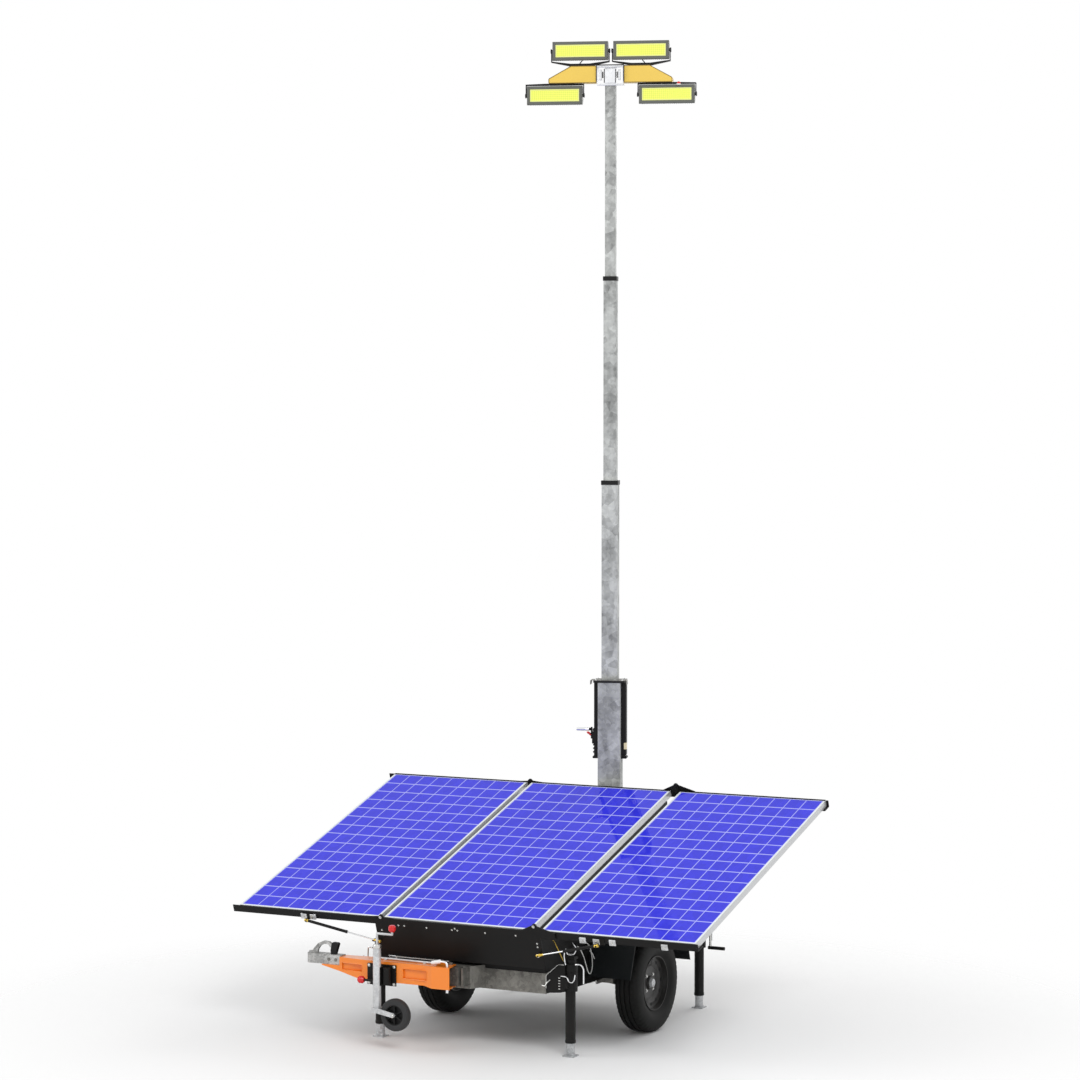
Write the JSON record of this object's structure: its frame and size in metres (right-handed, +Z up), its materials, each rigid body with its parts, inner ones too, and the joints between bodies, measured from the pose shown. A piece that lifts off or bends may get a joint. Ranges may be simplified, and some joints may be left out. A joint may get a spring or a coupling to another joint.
{
  "type": "mobile light tower",
  "caption": "Towed solar light tower with folding modules, telescopic mast carrying tilting flat lamps, folding drawbar with jockey wheel, and stabiliser legs.",
  "frame": {"origin": "centre of the box's bottom face, on the ground", "axes": "+Z up, +X across to the tower's right side as seen from the drawbar end, +Y from the drawbar end to the mast end"},
  "size_m": [3.142, 2.4064, 6.122],
  "materials": {
    "galvanised": "dull zinc coat with spangle",
    "mast_zinc": "bright zinc coat with spangle",
    "module_frame": "anodised, satin",
    "solar_glass": "smooth glass over blue cells",
    "orange_paint": "gloss",
    "yellow_paint": "gloss",
    "black_paint": "satin",
    "lamp_case": "satin grey-green",
    "zinc_plate": "bright plate",
    "chrome": "polished",
    "tyre": "matt rubber",
    "rubber": "matt rubber",
    "rim": "satin dark grey",
    "red_plastic": "gloss",
    "lens_plastic": "ribbed red and amber lens",
    "battery_case": "plain"
  },
  "bodies": {
    "chassis": {"front_beam": "galvanised", "side_rails": "galvanised", "rear_beam": "galvanised", "axle": "galvanised", "cabinet_front_plate": "black_paint", "cabinet_shell": "black_paint", "battery_block": "battery_case", "centre_module_frame": "module_frame", "centre_module_glass": "solar_glass", "rear_hinge_plate": "black_paint", "mudguards": "black_paint", "leg_brackets": "black_paint", "rear_lamps": "lens_plastic", "mast_foot": "galvanised"},
    "left_wheel": {"left_rim": "rim", "left_tyre": "tyre"},
    "right_wheel": {"right_rim": "rim", "right_tyre": "tyre"},
    "drawbar": {"drawbar": "orange_paint", "ball_coupling": "zinc_plate", "jockey_clamp": "black_paint", "drawbar_lock_pin": "chrome", "jockey_knobs": "red_plastic", "jockey_tube": "zinc_plate"},
    "jockey_stem": {"jockey_stem": "zinc_plate"},
    "jockey_fork": {"jockey_fork": "zinc_plate"},
    "jockey_wheel": {"jockey_wheel": "rubber"},
    "left_wing": {"left_module_frame": "module_frame", "left_module_glass": "solar_glass", "left_wing_rails": "black_paint"},
    "right_wing": {"right_module_frame": "module_frame", "right_module_glass": "solar_glass", "right_wing_rails": "black_paint"},
    "left_strut_barrel": {"left_strut_barrel": "black_paint"},
    "left_strut_rod": {"left_strut_rod": "chrome"},
    "right_strut_barrel": {"right_strut_barrel": "black_paint"},
    "right_strut_rod": {"right_strut_rod": "chrome"},
    "mast_base": {"mast_base": "mast_zinc", "mast_guards": "black_paint"},
    "mast_first_section": {"mast_first_section": "mast_zinc"},
    "mast_second_section": {"mast_second_section": "mast_zinc"},
    "mast_third_section": {"mast_third_section": "mast_zinc", "head_bracket": "galvanised", "head_arms": "yellow_paint", "lamp_yokes": "black_paint"},
    "front_left_leg": {"front_left_leg_sleeve": "black_paint", "front_left_leg_foot": "galvanised"},
    "front_right_leg": {"front_right_leg_sleeve": "black_paint", "front_right_leg_foot": "galvanised"},
    "rear_left_leg": {"rear_left_leg_sleeve": "black_paint", "rear_left_leg_foot": "galvanised"},
    "rear_right_leg": {"rear_right_leg_sleeve": "black_paint", "rear_right_leg_foot": "galvanised"},
    "upper_left_lamp": {"upper_left_lamp": "lamp_case"},
    "upper_right_lamp": {"upper_right_lamp": "lamp_case"},
    "lower_left_lamp": {"lower_left_lamp": "lamp_case"},
    "lower_right_lamp": {"lower_right_lamp": "lamp_case"}
  },
  "joints": [
    {"name": "left_wheel_spin", "type": "hinge", "parent": "chassis", "child": "left_wheel", "pos_m": [-0.694, 0.11184, 0.298], "axis": [1, 0, 0], "continuous": true},
    {"name": "right_wheel_spin", "type": "hinge", "parent": "chassis", "child": "right_wheel", "pos_m": [0.694, 0.11184, 0.298], "axis": [1, 0, 0], "continuous": true},
    {"name": "drawbar_fold", "type": "hinge", "parent": "chassis", "child": "drawbar", "pos_m": [-0.04, -1.00416, 0.45], "axis": [0, 0, 1], "range_deg": [0, 90]},
    {"name": "jockey_lift", "type": "slide", "parent": "drawbar", "child": "jockey_stem", "axis": [0, 0, 1], "range_m": [-0.115, 0]},
    {"name": "jockey_castor", "type": "hinge", "parent": "jockey_stem", "child": "jockey_fork", "pos_m": [-0.45, -1.16416, 0.25], "axis": [0, 0, 1], "continuous": true},
    {"name": "jockey_wheel_spin", "type": "hinge", "parent": "jockey_fork", "child": "jockey_wheel", "pos_m": [-0.322, -1.16416, 0.219], "axis": [0, 1, 0], "continuous": true},
    {"name": "front_left_leg_lift", "type": "slide", "parent": "chassis", "child": "front_left_leg", "axis": [0, 0, 1], "range_m": [0, 0.2]},
    {"name": "front_right_leg_lift", "type": "slide", "parent": "chassis", "child": "front_right_leg", "axis": [0, 0, 1], "range_m": [0, 0.2]},
    {"name": "rear_left_leg_lift", "type": "slide", "parent": "chassis", "child": "rear_left_leg", "axis": [0, 0, 1], "range_m": [0, 0.2]},
    {"name": "rear_right_leg_lift", "type": "slide", "parent": "chassis", "child": "rear_right_leg", "axis": [0, 0, 1], "range_m": [0, 0.2]},
    {"name": "left_wing_fold", "type": "hinge", "parent": "chassis", "child": "left_wing", "pos_m": [-0.5135, -0.07774, 1.07745], "axis": [0, 0.9489, 0.3156], "range_deg": [0, 180]},
    {"name": "right_wing_fold", "type": "hinge", "parent": "chassis", "child": "right_wing", "pos_m": [0.5305, -0.08658, 1.10402], "axis": [0, -0.9489, -0.3156], "range_deg": [0, 180]},
    {"name": "left_strut_turn", "type": "hinge", "parent": "left_wing", "child": "left_strut_barrel", "pos_m": [-1.03, -1.02317, 0.70709], "axis": [0, -0.9489, -0.3156], "range_deg": [0, 31.9]},
    {"name": "left_strut_slide", "type": "slide", "parent": "left_strut_barrel", "child": "left_strut_rod", "axis": [0.981, 0.0613, -0.1843], "range_m": [0, 0.0807]},
    {"name": "right_strut_turn", "type": "hinge", "parent": "right_wing", "child": "right_strut_barrel", "pos_m": [0.935, -1.02317, 0.70709], "axis": [0, 0.9489, 0.3156], "range_deg": [0, 46]},
    {"name": "right_strut_slide", "type": "slide", "parent": "right_strut_barrel", "child": "right_strut_rod", "axis": [-0.9711, 0.0753, -0.2263], "range_m": [0, 0.0821]},
    {"name": "mast_turn", "type": "hinge", "parent": "chassis", "child": "mast_base", "pos_m": [0, 0.98584, 0.5], "axis": [0, 0, 1], "range_deg": [-165, 165]},
    {"name": "mast_first_lift", "type": "slide", "parent": "mast_base", "child": "mast_first_section", "axis": [0, 0, 1], "range_m": [-1.1, 0]},
    {"name": "mast_second_lift", "type": "slide", "parent": "mast_first_section", "child": "mast_second_section", "axis": [0, 0, 1], "range_m": [-1.1, 0]},
    {"name": "mast_third_lift", "type": "slide", "parent": "mast_second_section", "child": "mast_third_section", "axis": [0, 0, 1], "range_m": [-1.1, 0]},
    {"name": "upper_left_lamp_tilt", "type": "hinge", "parent": "mast_third_section", "child": "upper_left_lamp", "pos_m": [-0.18324, 0.91915, 6.063], "axis": [0.9397, 0.342, 0], "range_deg": [-45, 90]},
    {"name": "upper_right_lamp_tilt", "type": "hinge", "parent": "mast_third_section", "child": "upper_right_lamp", "pos_m": [0.18324, 1.05253, 6.063], "axis": [0.9397, 0.342, 0], "range_deg": [-45, 90]},
    {"name": "lower_left_lamp_tilt", "type": "hinge", "parent": "mast_third_section", "child": "lower_left_lamp", "pos_m": [-0.33735, 0.86305, 5.783], "axis": [0.9397, 0.342, 0], "range_deg": [-45, 90]},
    {"name": "lower_right_lamp_tilt", "type": "hinge", "parent": "mast_third_section", "child": "lower_right_lamp", "pos_m": [0.33735, 1.10863, 5.783], "axis": [0.9397, 0.342, 0], "range_deg": [-45, 90]}
  ],
  "couplings": [
    {"joint": "left_strut_turn", "follows": "left_wing_fold", "ratio": 0.17609},
    {"joint": "left_strut_slide", "follows": "left_wing_fold", "m_per_rad": 0.025527},
    {"joint": "right_strut_turn", "follows": "right_wing_fold", "ratio": 0.2546},
    {"joint": "right_strut_slide", "follows": "right_wing_fold", "m_per_rad": 0.025976},
    {"joint": "mast_second_lift", "follows": "mast_first_lift", "ratio": 1},
    {"joint": "mast_third_lift", "follows": "mast_first_lift", "ratio": 1}
  ]
}
